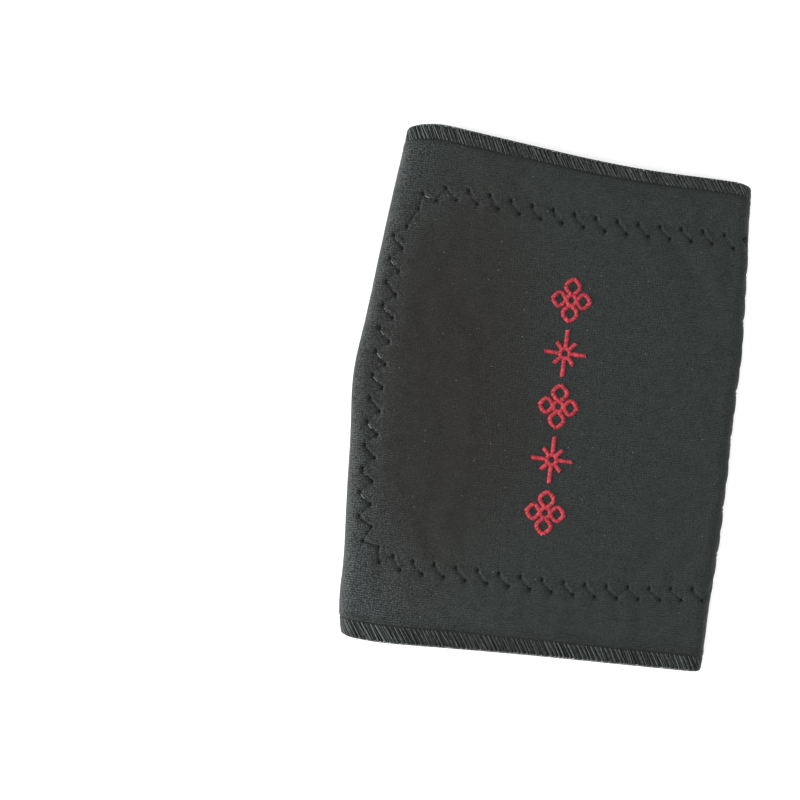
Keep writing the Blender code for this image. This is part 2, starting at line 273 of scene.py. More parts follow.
def cornersAlong(points, step):
    # needle holes on either side of a line, one for each leg
    lengths = lengthsAlong(points)
    found = []
    for leg in range(max(1, math.floor(lengths[-1] / step - patch["cornerRoom"]))):
        distance = step * (leg + 0.5)
        k = next(i for i in range(len(lengths) - 1) if distance <= lengths[i + 1])
        heading = (points[k + 1] - points[k]).normalized()
        swing = patch["zigzagWidth"] / 2 * (1 if leg % 2 == 0 else -1)
        share = (distance - lengths[k]) / (lengths[k + 1] - lengths[k])
        found.append(points[k].lerp(points[k + 1], share) + Vector((heading.y, -heading.x)) * swing)
    return found


def zigzagCorners():
    top, left, bottom = (curveThrough(patch[name]) for name in ("top", "left", "bottom"))
    radius = form["foldRadius"]
    right = []
    for step in range(patch["rightPieces"] + 1):
        y = mix(top[-1].y, bottom[-1].y, step / patch["rightPieces"])
        right.append(Vector((foldsAt(y)[1] - radius + radius * patch["turn"], y)))
    top.append(right[0])
    bottom.append(right[-1])
    found = cornersAlong(top, patch["rowStep"]) + cornersAlong(right, patch["columnStep"])
    return found + cornersAlong(bottom, patch["rowStep"])[::-1] + cornersAlong(left, patch["columnStep"])


corners = zigzagCorners()
print("zigzag laid out,", len(corners), "needle holes")


# How the stitching presses the cloth
dents = {
    "pointsALeg": 12,
    "bow": (0.05 * mm, 0.60 * mm),   # the tight legs sag towards the lower left
    "bowSkew": 0.7,                  # most of it above the middle
    "tight": (0.80, 1.10),           # pull of the legs that run down to the right
    "loose": (0.14, 0.28),           # and of the legs that run up to the right
    "looseLeft": 0.44,               # more of it down the left side
    "middle": (0.12, 0.46),          # share of the pull that is left half way along a leg
    "middleLeft": 0.48,              # more of that too down the left side
    "middleSkew": 0.9,
    "leftRate": 4.0,                 # the left side starts at about 0.55 of half the width
    "leftFrom": 2.2,
    "lineDepth": 1.15 * mm,
    "lineWidth": 0.60 * mm,
    "lineShade": 0.70,
    "shadeWidth": 0.46 * mm,
    "channelDepth": 0.50 * mm,
    "channelWidth": 2.4 * mm,
    "holeDepth": 1.95 * mm,
    "holeWidth": 1.02 * mm,
    "holeShade": 0.8,                # width of a hole's shade, as a share
    "narrowing": 1.25,               # the thread drags the upper holes long
    "puff": 0.62 * mm,               # the cloth stands up on the upper right of a tight leg
    "puffAway": 1.50 * mm,
    "puffWidth": 0.80 * mm,
    "reach": 9 * mm,                 # no pull further away than this
    "finer": (4.2 * mm, 2.0 * mm),   # the mesh is halved within each of these
    "patchRise": 0.30 * mm,
    "wave": 0.16 * mm,
    "waveLength": 38 * mm,
    "fineWave": 0.06 * mm,
    "fineWaveLength": 9 * mm,
}


def layLegs():
    # every leg of the zigzag: its points, each with the pull of the thread there
    chance = random.Random(5)
    legs = []
    for k, start in enumerate(corners):
        end = corners[(k + 1) % len(corners)]
        leg = end - start
        tight = leg.x * leg.y < 0
        aside = Vector((leg.y, -leg.x)).normalized()
        if aside.x > 0:
            aside.negate()
        bow = chance.uniform(*dents["bow"])
        pull = chance.uniform(*dents["tight"])
        leftSide = smoothStep(-start.x / form["halfWidth"] * dents["leftRate"] - dents["leftFrom"])
        middle = chance.uniform(*dents["middle"]) + dents["middleLeft"] * leftSide
        if not tight:
            bow = 0.0
            pull = chance.uniform(*dents["loose"]) + dents["looseLeft"] * leftSide
        points = []
        for step in range(dents["pointsALeg"] + 1):
            share = step / dents["pointsALeg"]
            down = share if start.y > end.y else 1 - share
            easing = mix(1.0, middle, math.sin(math.pi * min(1.0, down * dents["middleSkew"])))
            place = start.lerp(end, share) + aside * bow * math.sin(math.pi * down ** dents["bowSkew"])
            points.append((place, pull * easing))
        legs.append(points)
    return legs


def treeOf(places):
    # it finds the nearest of them
    tree = kdtree.KDTree(len(places))
    for k, place in enumerate(places):
        tree.insert((place.x, place.y, 0), k)
    tree.balance()
    return tree


legs = layLegs()
zigzagSamples = [point for leg in legs for point in leg[:-1]]
zigzagLines = treeOf([place for place, _ in zigzagSamples])
zigzagHoles = treeOf(corners)


def fallOff(distance, width):
    return math.exp(-(distance / width) ** 2)


def insidePatch(walk, y):
    # 1 well inside the sewn line, 0 outside it
    across, along = walk / form["halfWidth"], y / form["halfLength"]
    top = readTable(patch["top"], 1, across)
    bottom = readTable(patch["bottom"], 1, across)
    soft = patch["doubledSoft"]
    return (smoothStep((top - along) / soft) * smoothStep((along - bottom) / soft)
            * smoothStep((across - patch["doubledFrom"]) / soft))


def stitchPress(walk, y):
    # depth that the zigzag pulls the cloth down, and how much shade is painted there, 0 to 1
    place = Vector((walk, y, 0))
    nearest, k, distance = zigzagLines.find(place)
    if distance > dents["reach"]:
        return 0.0, 0.0
    pull = zigzagSamples[k][1]
    holePlace, k, toHole = zigzagHoles.find(place)
    if holePlace.y > corners[k - 1].y:
        narrowing = dents["narrowing"]
        toHole = math.hypot((walk - holePlace.x) * narrowing, (y - holePlace.y) / narrowing)
    line = pull * fallOff(distance, dents["lineWidth"])
    hole = fallOff(toHole, dents["holeWidth"])
    channel = dents["channelDepth"] * math.exp(-distance / dents["channelWidth"])
    depth = max(dents["lineDepth"] * line, dents["holeDepth"] * hole) + channel
    offset = place - nearest
    upRight = smoothStep((offset.x + offset.y) / max(distance, 0.1 * mm))
    depth -= dents["puff"] * pull * upRight * fallOff(distance - dents["puffAway"], dents["puffWidth"])
    lineShade = dents["lineShade"] * pull * fallOff(distance, dents["shadeWidth"])
    return depth, max(lineShade, fallOff(toHole, dents["holeShade"] * dents["holeWidth"]))


def reliefAt(walk, y):
    # lift of the cloth above the plain form, and the shade painted there
    waves = dents["wave"] * noise.noise(Vector((walk, y, 0.3)) / dents["waveLength"])
    waves += dents["fineWave"] * noise.noise(Vector((walk, y, 1.7)) / dents["fineWaveLength"])
    depth, tight = stitchPress(walk, y)
    rise = dents["patchRise"] * insidePatch(walk, y)
    return waves + rise - depth, tight


# Painted sheen along the left fold: the knit is drawn light and fuzzy there, partly its real wear and
# partly a painted highlight of the light that falls on the fold
nap = {
    # height along, how far the wear reaches on to the front
    "reach": [
        (-1.00, 0.030), (-0.80, 0.026), (-0.60, 0.015), (-0.30, 0.007),
        (0.05, 0.0045), (0.40, 0.0055), (0.80, 0.009), (1.00, 0.010),
    ],
    # height along, how far the wear and the painted sheen reach on to the front
    "fading": 1.4,
    "under": 14 * mm,        # and how far it goes on under the fold
    "underSoft": 10 * mm,
    "lint": 0.5,             # the needle has also pulled lint up round its stitches on the left
    "lintReach": 2.6 * mm,
    "lintRate": 2.0,
    "lintFrom": 0.6,
}


def wearAndSheenAt(walk, y):
    # 1 where the knit is fully worn and its painted sheen is strongest, 0 where it is as new and has
    # none
    left, _ = foldsAt(y)
    fromFold = walk - left
    if fromFold < 0:
        return smoothStep((fromFold + nap["under"]) / nap["underSoft"])
    _, _, distance = zigzagLines.find((walk, y, 0))
    lint = nap["lint"] * math.exp(-distance / nap["lintReach"])
    lint *= smoothStep(-walk / form["halfWidth"] * nap["lintRate"] - nap["lintFrom"])
    reach = readTable(nap["reach"], 1, y / form["halfLength"])
    return max(lint, math.exp(-(fromFold / reach) ** nap["fading"]))


# Hem: the cloth is squeezed under the overlock threads and swells just inside them
hem = {
    "squeezed": 1.9 * mm,
    "swell": 0.35 * mm,
    "swellWidth": 3.0 * mm,
    "ease": 1.1 * mm,
    "endInset": 0.75 * mm,
    "bulge": 0.35 * mm,       # of the cut edge
    "reach": 12 * mm,         # the rows stand closer within this of an edge
    "insideEase": 0.3,        # how soon the inside gets back to full thickness
    "shadeFrom": 0.7 * mm,    # painted shade: the cloth is drawn dark under the threads and, less and less, next to them
    "shadeSoft": 0.9 * mm,
    "underShade": 0.95,
    "nextShade": 0.45,
    "nextReach": 1.6 * mm,
}


def hemLift(mouth, across, inset):
    # lift of the outer surface near a mouth, 0 on the open cloth
    depth = hemDepth(mouth, across)
    squeeze = (form["cloth"] - hem["squeezed"]) / 2
    if inset < depth:
        share = smoothStep((depth - inset) / hem["ease"])
        return -squeeze * share
    return hem["swell"] * math.sin(math.pi * min(1.0, (inset - depth) / hem["swellWidth"])) / 2


# Rows along the cloth: up the outside, round the upper end, down the inside, round the lower end
rows = {"hem": 14, "body": 136, "end": 4, "inside": 30}
outsideRows = 2 * rows["hem"] + rows["body"]
rowCount = outsideRows + 2 * rows["end"] + rows["inside"]


def hemRow(mouth, across, inset):
    share = smoothStep(inset / hem["reach"])
    return edgeY(mouth, across, inset), hemLift(mouth, across, inset), share


def endRow(mouth, across, turn, start, end):
    # round the cut edge of the cloth, from one lift to the other
    inset = hem["endInset"] - hem["bulge"] * math.sin(turn)
    return edgeY(mouth, across, inset), mix(end, start, (1 + math.cos(turn)) / 2), 0.0


def rowPlace(row, column):
    # y and lift of a row, and how much of the relief it takes
    across, _ = columnPlace(column, 0.0)
    low = edgeY("lower", across, hem["reach"])
    high = edgeY("upper", across, hem["reach"])
    if row <= rows["hem"]:
        return hemRow("lower", across, mix(hem["endInset"], hem["reach"], row / rows["hem"]))
    row -= rows["hem"]
    if row <= rows["body"]:
        return mix(low, high, row / rows["body"]), 0.0, 1.0
    row -= rows["body"]
    if row <= rows["hem"]:
        return hemRow("upper", across, mix(hem["reach"], hem["endInset"], row / rows["hem"]))
    row -= rows["hem"]
    outer = -(form["cloth"] - hem["squeezed"]) / 2
    inner = outer - hem["squeezed"]
    if row <= rows["end"]:
        return endRow("upper", across, math.pi * row / rows["end"], outer, inner)
    row -= rows["end"]
    if row <= rows["inside"]:
        share = row / rows["inside"]
        y = mix(edgeY("upper", across, hem["endInset"]), edgeY("lower", across, hem["endInset"]), share)
        return y, mix(inner, -form["cloth"], math.sin(math.pi * share) ** hem["insideEase"]), 0.0
    return endRow("lower", across, math.pi * (row - rows["inside"]) / rows["end"], inner, outer)


# The outer face is let swell against its stitches by Blender's cloth simulation,
# on a coarser grid of its own
swelling = {
    "columns": {"back": 4, "fold": 6, "front": 74},
    "rows": {"hem": 5, "body": 104},
    "pressure": 4.0,
    "growth": 0.02,        # spare cloth, as a share
    "hold": 0.10,          # pull of the foam back to its flat form
    "sewnHold": 0.50,      # and under the embroidery
    "sewnReach": 30 * mm,
    "openFrom": 0.9,       # nearer to the hems than this the cloth is held fast
    "stitchReach": 1.3 * mm,
    "frames": 20,
    "cap": 1.3 * mm,
    "use": 0.45,           # share of the movement that is taken over
}


def foamHold(walk, y):
    # the embroidery stiffens the cloth under it and, less and less, round it
    low, high = motifBox
    away = math.hypot(max(low.x - walk, walk - high.x, 0.0), max(low.y - y, y - high.y, 0.0))
    return mix(swelling["sewnHold"], swelling["hold"], smoothStep(away / swelling["sewnReach"]))


def spread(fine, coarse, names):
    # places of the coarse grid's lines, counted as those of the fine one are
    found = [0.0]
    for name in names:
        found += [found[-1] + fine[name] * (k + 1) / coarse[name] for k in range(coarse[name])]
    return found


def swellCloth():
    # the coarse grid's lines, and how far each of its points has risen
    around = spread(columns, swelling["columns"], ("back", "fold", "front", "fold", "back"))
    along = spread(rows, swelling["rows"], ("hem", "body", "hem"))
    offFront = columns["back"] + columns["fold"] / 2
    grid = bmesh.new()
    rings = []
    pinned = []
    for row in along:
        ring = []
        for column in around[:-1]:
            y, lift, share = rowPlace(row, column)
            _, walk = columnPlace(column, y)
            ring.append(grid.verts.new(onSleeve(walk, y, lift)))
            _, _, distance = zigzagLines.find((walk, y, 0))
            fixed = not offFront < column < columnCount - offFront
            fixed = fixed or share < swelling["openFrom"] or distance < swelling["stitchReach"]
            pinned.append(1.0 if fixed else foamHold(walk, y))
        rings.append(ring)
    for ring, following in zip(rings, rings[1:]):
        for k, vertex in enumerate(ring):
            after = (k + 1) % len(ring)
            grid.faces.new((vertex, ring[after], following[after], following[k]))
    grid.faces.new(rings[0])
    grid.faces.new(rings[-1])
    bmesh.ops.recalc_face_normals(grid, faces=grid.faces)
    grid.verts.index_update()
    mesh = meshOf(grid, "swelling")
    cloth = addObject("swelling", mesh)
    pins = cloth.vertex_groups.new(name="pins")
    for k, weight in enumerate(pinned):
        pins.add([k], weight, "REPLACE")
    started = [vertex.co.copy() for vertex in mesh.vertices]
    outward = [vertex.normal.copy() for vertex in mesh.vertices]
    modifier = cloth.modifiers.new("swell", "CLOTH")
    settings = modifier.settings
    settings.vertex_group_mass = "pins"
    settings.use_pressure = True
    settings.uniform_pressure_force = swelling["pressure"]
    settings.shrink_min = -swelling["growth"]
    settings.effector_weights.gravity = 0
    modifier.collision_settings.use_collision = False
    for number in range(1, swelling["frames"] + 1):
        bpy.context.scene.frame_set(number)
    ended = cloth.evaluated_get(bpy.context.evaluated_depsgraph_get()).data
    moved = []
    for k, vertex in enumerate(ended.vertices):
        rise = (vertex.co - started[k]).dot(outward[k])
        moved.append(swelling["use"] * max(-swelling["cap"], min(swelling["cap"], rise)))
    bpy.data.objects.remove(cloth, do_unlink=True)
    bpy.context.scene.frame_set(1)
    width = len(around) - 1
    return around, along, [moved[k:k + width] for k in range(0, len(moved), width)]


swollen = swellCloth()
if swollen:
    rises = [rise for ring in swollen[2] for rise in ring]
    print("cloth swollen, by", round(min(rises) / mm, 2), "to", round(max(rises) / mm, 2), "mm")


def swellAt(column, row):
    if not swollen:
        return 0.0
    around, along, moved = swollen
    k = min(bisect.bisect_right(around, column), len(around) - 1) - 1
    j = min(bisect.bisect_right(along, row), len(along) - 1) - 1
    across = (column - around[k]) / (around[k + 1] - around[k])
    up = (row - along[j]) / (along[j + 1] - along[j])
    after = (k + 1) % (len(around) - 1)
    low = mix(moved[j][k], moved[j][after], across)
    high = mix(moved[j + 1][k], moved[j + 1][after], across)
    return mix(low, high, up)


def frontLift(walk, y):
    # how far the modelled cloth stands above the plain form on the open front
    left, right = foldsAt(y)
    low, high = left + form["foldRadius"], right - form["foldRadius"]
    column = columns["back"] + columns["fold"] + columns["front"] * (walk - low) / (high - low)
    across, _ = columnPlace(column, y)
    bottom, top = edgeY("lower", across, hem["reach"]), edgeY("upper", across, hem["reach"])
    row = rows["hem"] + rows["body"] * (y - bottom) / (top - bottom)
    return reliefAt(walk, y)[0] + swellAt(column, row)


def refineNearStitches(grid, reach):
    # halve the faces that lie within reach of the zigzag
    chosen = set()
    for face in grid.faces:
        centre = face.calc_center_median()
        column, row = centre.x, centre.y
        if row > outsideRows:
            continue
        y, _, _ = rowPlace(row, column)
        _, walk = columnPlace(column, y)
        _, _, distance = zigzagLines.find((walk, y, 0))
        if distance < reach:
            chosen.update(face.edges)
    bmesh.ops.subdivide_edges(grid, edges=list(chosen), cuts=1, use_grid_fill=True)


def underHem(across, y):
    # 1 under the overlock threads, 0 on the open cloth
    mouth = "upper" if y > 0 else "lower"
    inset = form["halfLength"] * readTable(edges[mouth], 1, across) - abs(y)
    past = inset - hemDepth(mouth, across)
    under = smoothStep((hem["shadeFrom"] - past) / hem["shadeSoft"])
    return max(under, hem["nextShade"] * math.exp(-max(past, 0.0) / hem["nextReach"]))


def makeSleeve(finish):
    grid = bmesh.new()
    bmesh.ops.create_grid(grid, x_segments=columnCount, y_segments=rowCount, size=0.5)
    for vertex in grid.verts:
        vertex.co.x = (vertex.co.x + 0.5) * columnCount
        vertex.co.y = (vertex.co.y + 0.5) * rowCount
    for reach in dents["finer"]:
        refineNearStitches(grid, reach)
    clothMap = grid.loops.layers.uv.new("clothMap")
    paintedShade = grid.verts.layers.float.new("paintedShade")
    wearAndSheen = grid.verts.layers.float.new("wearAndSheen")
    flat = {}
    for vertex in grid.verts:
        column, row = vertex.co.x, vertex.co.y
        y, lift, share = rowPlace(row, column)
        _, walk = columnPlace(column, y)
        flat[vertex] = Vector((walk, y + (lift if row > outsideRows else 0.0)))
        if share > 0 and abs(walk) < form["halfWidth"] + nap["under"]:
            # the second value is the shade painted into the zigzag's grooves and holes
            relief, tight = reliefAt(walk, y)
            lift += (relief + swellAt(column, row)) * share
            vertex[paintedShade] = tight
            vertex[wearAndSheen] = wearAndSheenAt(walk, y)
        across, _ = columnPlace(column, y)
        # painted shade under the overlock threads and just inside them
        vertex[paintedShade] = max(vertex[paintedShade], hem["underShade"] * underHem(across, y))
        vertex.co = onSleeve(walk, y, lift)
        vertex.co.z = max(vertex.co.z, form["lowest"])
    for face in grid.faces:
        face.smooth = True
        for loop in face.loops:
            loop[clothMap].uv = flat[loop.vert]
    bmesh.ops.remove_doubles(grid, verts=grid.verts, dist=form["weld"])
    bmesh.ops.recalc_face_normals(grid, faces=grid.faces)
    mesh = meshOf(grid, "paddedSleeve")
    mesh.materials.append(finish)
    piece = addObject("paddedSleeve", mesh)
    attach(piece, "root")
    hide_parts("sleeve")
    return piece


class Value:
    # a number in a shader: arithmetic on it adds Math nodes

    def __init__(self, finish, socket):
        self.finish = finish
        self.socket = socket

    def math(self, operation, *others):
        sources = [self, *others]
        return self.finish.node("ShaderNodeMath", {"operation": operation}, dict(enumerate(sources)))

    def __add__(self, other):
        return self.math("ADD", other)

    def __sub__(self, other):
        return self.math("SUBTRACT", other)

    def __rsub__(self, other):
        return self.finish.node("ShaderNodeMath", {"operation": "SUBTRACT"}, {0: other, 1: self})

    def __mul__(self, other):
        return self.math("MULTIPLY", other)

    def __truediv__(self, other):
        return self.math("DIVIDE", other)

    def __pow__(self, other):
        return self.math("POWER", other)


class Finish:
    # one material, built node by node

    def __init__(self, name):
        self.material = bpy.data.materials.new(name)
        self.material.use_nodes = True
        self.tree = self.material.node_tree
        self.shader = self.tree.nodes["Principled BSDF"]

    def node(self, kind, settings=None, inputs=None, output=0):
        made = self.tree.nodes.new(kind)
        for name, setting in (settings or {}).items():
            setattr(made, name, setting)
        for name, source in (inputs or {}).items():
            self.feed(made.inputs[name], source)
        return Value(self, made.outputs[output])

    def feed(self, socket, source):
        if isinstance(source, Value):
            self.tree.links.new(source.socket, socket)
        else:
            socket.default_value = source

    def set(self, name, source):
        self.feed(self.shader.inputs[name], source)

    def place(self):
        return self.node("ShaderNodeTexCoord", output="Object")

    def blend(self, share, low, high):
        # a mix of two colours
        low, high = (end if isinstance(end, Value) else (*end, 1.0) for end in (low, high))
        return self.node("ShaderNodeMix", {"data_type": "RGBA"}, {0: share, 6: low, 7: high}, output=2)

    def noise(self, place, scale, detail=2.0, roughness=0.5):
        inputs = {"Vector": place, "Scale": scale, "Detail": detail, "Roughness": roughness}
        return self.node("ShaderNodeTexNoise", None, inputs)

    def cells(self, place, scale):
        return self.node("ShaderNodeTexVoronoi", {"feature": "F1"}, {"Vector": place, "Scale": scale})

    def attribute(self, name):
        return self.node("ShaderNodeAttribute", {"attribute_name": name}, output="Fac")

    def stretch(self, place, scale):
        return self.node("ShaderNodeMapping", None, {"Vector": place, "Scale": scale})

    def bump(self, height, distance, strength):
        inputs = {"Height": height, "Distance": distance, "Strength": strength}
        return self.node("ShaderNodeBump", None, inputs)


knit = {
    "cool": (0.0262, 0.0318, 0.0292),
    "coolDark": (0.0036, 0.0046, 0.0042),
    # darker, brownish colour of the painted shade left of the middle of the front
    "warm": (0.0212, 0.0196, 0.0176),
    "warmDark": (0.0036, 0.0033, 0.0030),
    # colour of the worn knit together with the painted sheen of the light on the left fold
    "wearAndSheen": (0.0560, 0.0612, 0.0636),
    "shade": (0.0030, 0.0034, 0.0034),
    "lint": (0.12, 0.13, 0.13),
    "warmMiddle": (-0.044, 0.004),      # painted shade and tint: the darker, brownish part of the front, by walk and height
    "warmReach": (0.041, 0.096),
    "warmEdge": 1.6,
    "warmSlope": 0.62,
    "warmPatches": 0.9,
    "wale": 1.18 * mm,
    "course": 1.08 * mm,
    "wind": 1.3,                        # of the courses round the wales
    "swayScale": 60.0,                  # the rows sway in large and in small
    "sway": 4.0,
    "smallSwayScale": 330.0,
    "smallSway": 2.6,
    "waleShare": 0.26,
    "courseShare": 0.64,
    "unevenRows": 2.6,
    "evenRows": 1.1,
    "grainScale": (1200, 1650, 1),
    "blotchScale": (210, 290, 1),
    "patchScale": 14.0,
    "dotScale": 1250.0,
    "dotSize": 0.38,
    "speckScale": 520.0,                # small light specks of lint
    "speckSize": 0.15,
    "speckPlaces": 610.0,
    "speckRarity": 0.69,
    "speckStrength": 0.5,
    # shares of grain, dots, rows and blotches
    "tone": (2.0, 0.4, 0.27, 0.40),
    "middleTone": 0.45,
    "fuzzAndSheen": (3.3, 1.1, 0.40, 0.3),
    "middleFuzzAndSheen": 0.38,
    "fuzzAndSheenFade": 0.5,
    "height": (0.9, 0.2, 0.36, 0.4),
    "heightReach": 0.22 * mm,
    "heightStrength": 0.9,
    "roughness": 0.9,
    "sheen": 0.09,
    "sheenRoughness": 0.45,
    "specular": 0.18,
}


def knitFinish():
    finish = Finish("paddedKnit")
    flat = finish.node("ShaderNodeUVMap", {"uv_map": "clothMap"})
    walk = finish.node("ShaderNodeSeparateXYZ", None, {0: flat})
    up = Value(finish, walk.socket.node.outputs[1])
    sway = finish.noise(flat, knit["swayScale"], 1.0) * knit["sway"]
    sway = sway + finish.noise(flat, knit["smallSwayScale"], 1.0) * knit["smallSway"]
    wales = (walk * (2 * math.pi / knit["wale"]) + sway).math("COSINE")
    courses = (up * (2 * math.pi / knit["course"]) + wales * knit["wind"] + sway).math("SINE")
    grain = finish.noise(finish.stretch(flat, knit["grainScale"]), 1.0, 2.0, 0.7) - 0.5
    blotch = finish.noise(finish.stretch(flat, knit["blotchScale"]), 1.0, 2.0, 0.6) - 0.5
    stitches = wales * knit["waleShare"] + courses * knit["courseShare"]
    stitches = stitches * (blotch * knit["unevenRows"] + knit["evenRows"])
    patches = finish.noise(flat, knit["patchScale"]) - 0.5
    dots = knit["dotSize"] - finish.cells(flat, knit["dotScale"])

    def woven(shares):
        return grain * shares[0] + dots * shares[1] + stitches * shares[2] + blotch * shares[3]

    specks = finish.cells(flat, knit["speckScale"]).math("LESS_THAN", knit["speckSize"])
    rare = finish.noise(flat, knit["speckPlaces"], 0.0).math("GREATER_THAN", knit["speckRarity"])
    wearAndSheen = finish.attribute("wearAndSheen")
    tone = woven(knit["tone"]) + knit["middleTone"]
    cool = finish.blend(tone, knit["coolDark"], knit["cool"])
    warm = finish.blend(tone, knit["warmDark"], knit["warm"])
    # painted shade and tint: darker and browner left of the middle of the front, cooler and lighter
    # round it
    fromMiddle = ((walk - knit["warmMiddle"][0]) / knit["warmReach"][0]) ** 2.0
    fromMiddle = fromMiddle + ((up - knit["warmMiddle"][1]) / knit["warmReach"][1]) ** 2.0
    warmth = (knit["warmEdge"] - fromMiddle) * knit["warmSlope"] + patches * knit["warmPatches"]
    base = finish.blend(warmth, cool, warm)
    fuzzAndSheen = wearAndSheen * knit["middleFuzzAndSheen"] + wearAndSheen ** knit["fuzzAndSheenFade"] * woven(knit["fuzzAndSheen"])
    # real wear and painted sheen: lighter, bluish knit along the left fold
    base = finish.blend(fuzzAndSheen, base, knit["wearAndSheen"])
    base = finish.blend(specks * rare * knit["speckStrength"], base, knit["lint"])
    # painted shade in the stitch grooves, the needle holes and along the hems
    base = finish.blend(finish.attribute("paintedShade"), base, knit["shade"])
    finish.set("Base Color", base)
    finish.set("Roughness", knit["roughness"])
    finish.set("Sheen Weight", knit["sheen"])
    finish.set("Sheen Roughness", knit["sheenRoughness"])
    finish.set("Specular IOR Level", knit["specular"])
    finish.set("Normal", finish.bump(woven(knit["height"]), knit["heightReach"], knit["heightStrength"]))
    return finish.material


threads = {
    # dark and light colour, lowest roughness, scale of the unevenness and its strength
    "overlock": ((0.004, 0.005, 0.005), (0.120, 0.138, 0.136), 0.40, 800, 0.9),
    "zigzag": ((0.002, 0.0025, 0.0025), (0.250, 0.270, 0.265), 0.40, 900, 0.9),
    "embroidery": ((0.130, 0.003, 0.008), (0.44, 0.034, 0.050), 0.27, 1500, 1.9),
    "finer": 3.1,             # scale of the twist, as a share
    "roughnessSpread": 0.3,
    "sheen": 0.04,
    "specular": 0.25,
    "twistHeight": 0.06 * mm,
    "twistStrength": 0.6,
}


def threadFinish(name):
    # each thread has a tone of its own, 0 dark to 1 light
    dark, light, roughness, scale, uneven = threads[name]
    finish = Finish(name + "Thread")
    place = finish.place()
    strands = finish.noise(place, scale, 2.0, 0.6) - 0.5
    twist = finish.noise(place, scale * threads["finer"], 1.0)
    finish.set("Base Color", finish.blend(finish.attribute("tone") + strands * uneven, dark, light))
    finish.set("Roughness", twist * threads["roughnessSpread"] + roughness)
    finish.set("Sheen Weight", threads["sheen"])
    finish.set("Specular IOR Level", threads["specular"])
    finish.set("Normal", finish.bump(twist, threads["twistHeight"], threads["twistStrength"]))
    return finish.material


def makeThreads(name, strands, thickness, finish):
    # each strand is its points, its tone and its thickness as a share
    # one curve holds them all and is made a mesh
    curve = bpy.data.curves.new(name, "CURVE")
    curve.dimensions = "3D"
    curve.bevel_depth = thickness / 2
    curve.bevel_resolution = 1
    for path, _, share in strands:
        spline = curve.splines.new("POLY")
        spline.points.add(len(path) - 1)
        for point, place in zip(spline.points, path):
            point.co = (*place, 1.0)
            point.radius = share
    drawn = addObject(name + "Drawn", curve)
    ready = drawn.evaluated_get(bpy.context.evaluated_depsgraph_get())
    mesh = bpy.data.meshes.new_from_object(ready)
    bpy.data.objects.remove(drawn, do_unlink=True)
    mesh.name = name
    mesh.materials.clear()
    mesh.materials.append(finish)
    mesh.shade_smooth()
    around = len(mesh.vertices) // sum(len(path) for path, _, _ in strands)
    tones = [tone for path, tone, _ in strands for _ in range(len(path) * around)]
    mesh.attributes.new("tone", "FLOAT", "POINT").data.foreach_set("value", tones)
    piece = addObject(name, mesh)
    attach(piece, "root")
    return piece


zigzagThread = {
    "thickness": 0.28 * mm,
    "bury": 0.9 * mm,           # at the holes
    "emerge": 4.5,              # how soon a leg is out of them
    "lie": 0.10 * mm,
    "looseLie": 0.34 * mm,      # the loose legs lie this much deeper in the nap
    "tone": 0.01,
    "fleckTone": 0.95,          # the upper end of a stitch on the left catches the light
    "fleckShare": 0.6,
    "fleckFrom": -0.70,
    "fleckPull": 0.79,          # the tight legs alone
}


def makeZigzagThread(finish):
    chance = random.Random(8)
    strands = []
    for leg in legs:
        path = []
        pull = max(pull for _, pull in leg)
        across = leg[0][0].x / form["halfWidth"]
        for step, (place, _) in enumerate(leg):
            share = step / dents["pointsALeg"]
            depth, _ = stitchPress(place.x, place.y)
            out = smoothStep(min(share, 1 - share) * zigzagThread["emerge"])
            sunk = zigzagThread["bury"] * (1 - out)
            lie = mix(-zigzagThread["looseLie"], zigzagThread["lie"], smoothStep(pull))
            path.append(onSleeve(place.x, place.y, dents["patchRise"] / 2 - depth + lie - sunk))
        bare = pull > zigzagThread["fleckPull"] and across < zigzagThread["fleckFrom"]
        bare = bare and chance.random() < zigzagThread["fleckShare"]
        half = len(path) // 2
        parts = [path[:half + 1], path[half:]]
        if leg[0][0].y > leg[-1][0].y:
            parts.reverse()
        strands.append((parts[0], zigzagThread["tone"], 1.0))
        strands.append((parts[1], zigzagThread["fleckTone"] if bare else zigzagThread["tone"], 1.0))
    piece = makeThreads("zigzagThread", strands, zigzagThread["thickness"], finish)
    return piece


overlock = {
    "pitch": {"upper": 1.80 * mm, "lower": 2.15 * mm},
    "lean": 4.4 * mm,         # from the needle line to the edge
    "strand": 0.42 * mm,
    "halfBand": 1.26 * mm,    # middle of the cloth to the middle of a strand
    "steps": 9,
    # strands of each stitch: shift along, share of the lean, rise, darkest and lightest tone
    "strands": [
        (0.00, 1.00, 0.12 * mm, 0.22, 1.00),
        (0.24, 0.90, 0.00 * mm, 0.00, 0.40),
        (0.52, 0.84, -0.22 * mm, 0.00, 0.08),
        (0.77, 0.95, -0.20 * mm, 0.00, 0.05),
    ],
    # across, and the light that the threads catch there
    "light": {
        "upper": [
            (-1.00, 0.72), (-0.85, 0.62), (-0.70, 0.48), (-0.45, 0.29), (0.10, 0.31), (1.00, 0.27),
        ],
        "lower": [
            (-1.00, 0.96), (-0.85, 0.84), (-0.70, 0.48), (-0.45, 0.30),
            (-0.05, 0.28), (0.35, 0.52), (1.00, 0.56),
        ],
    },
    "unevenShift": (-0.16, 0.16),
    "unevenLean": (-0.17, 0.17),
    "unevenRise": (-0.05, 0.05),     # in millimetres
    "thickness": (0.8, 1.1),
    "bury": 0.55 * mm,        # at both needle lines
    "emerge": 0.10,
    "brightFrom": -0.72,      # loops left of here catch the light
}
needleLoop = {
    "steps": 4,
    "bury": 0.42 * mm,
    "rise": 0.10 * mm,
    "line": -0.03,
    "uneven": 0.02,
    "bright": (0.8, 1.2),
    "dull": (0.0, 0.2),
    "thickness": 0.9,
}
edgeLoop = {
    "steps": 5,
    "swing": 0.055,
    "rise": 0.12 * mm,
    "wave": 0.08 * mm,
    "bright": (0.7, 1.1),
    "dull": (0.1, 0.4),
    "thickness": 1.0,
}


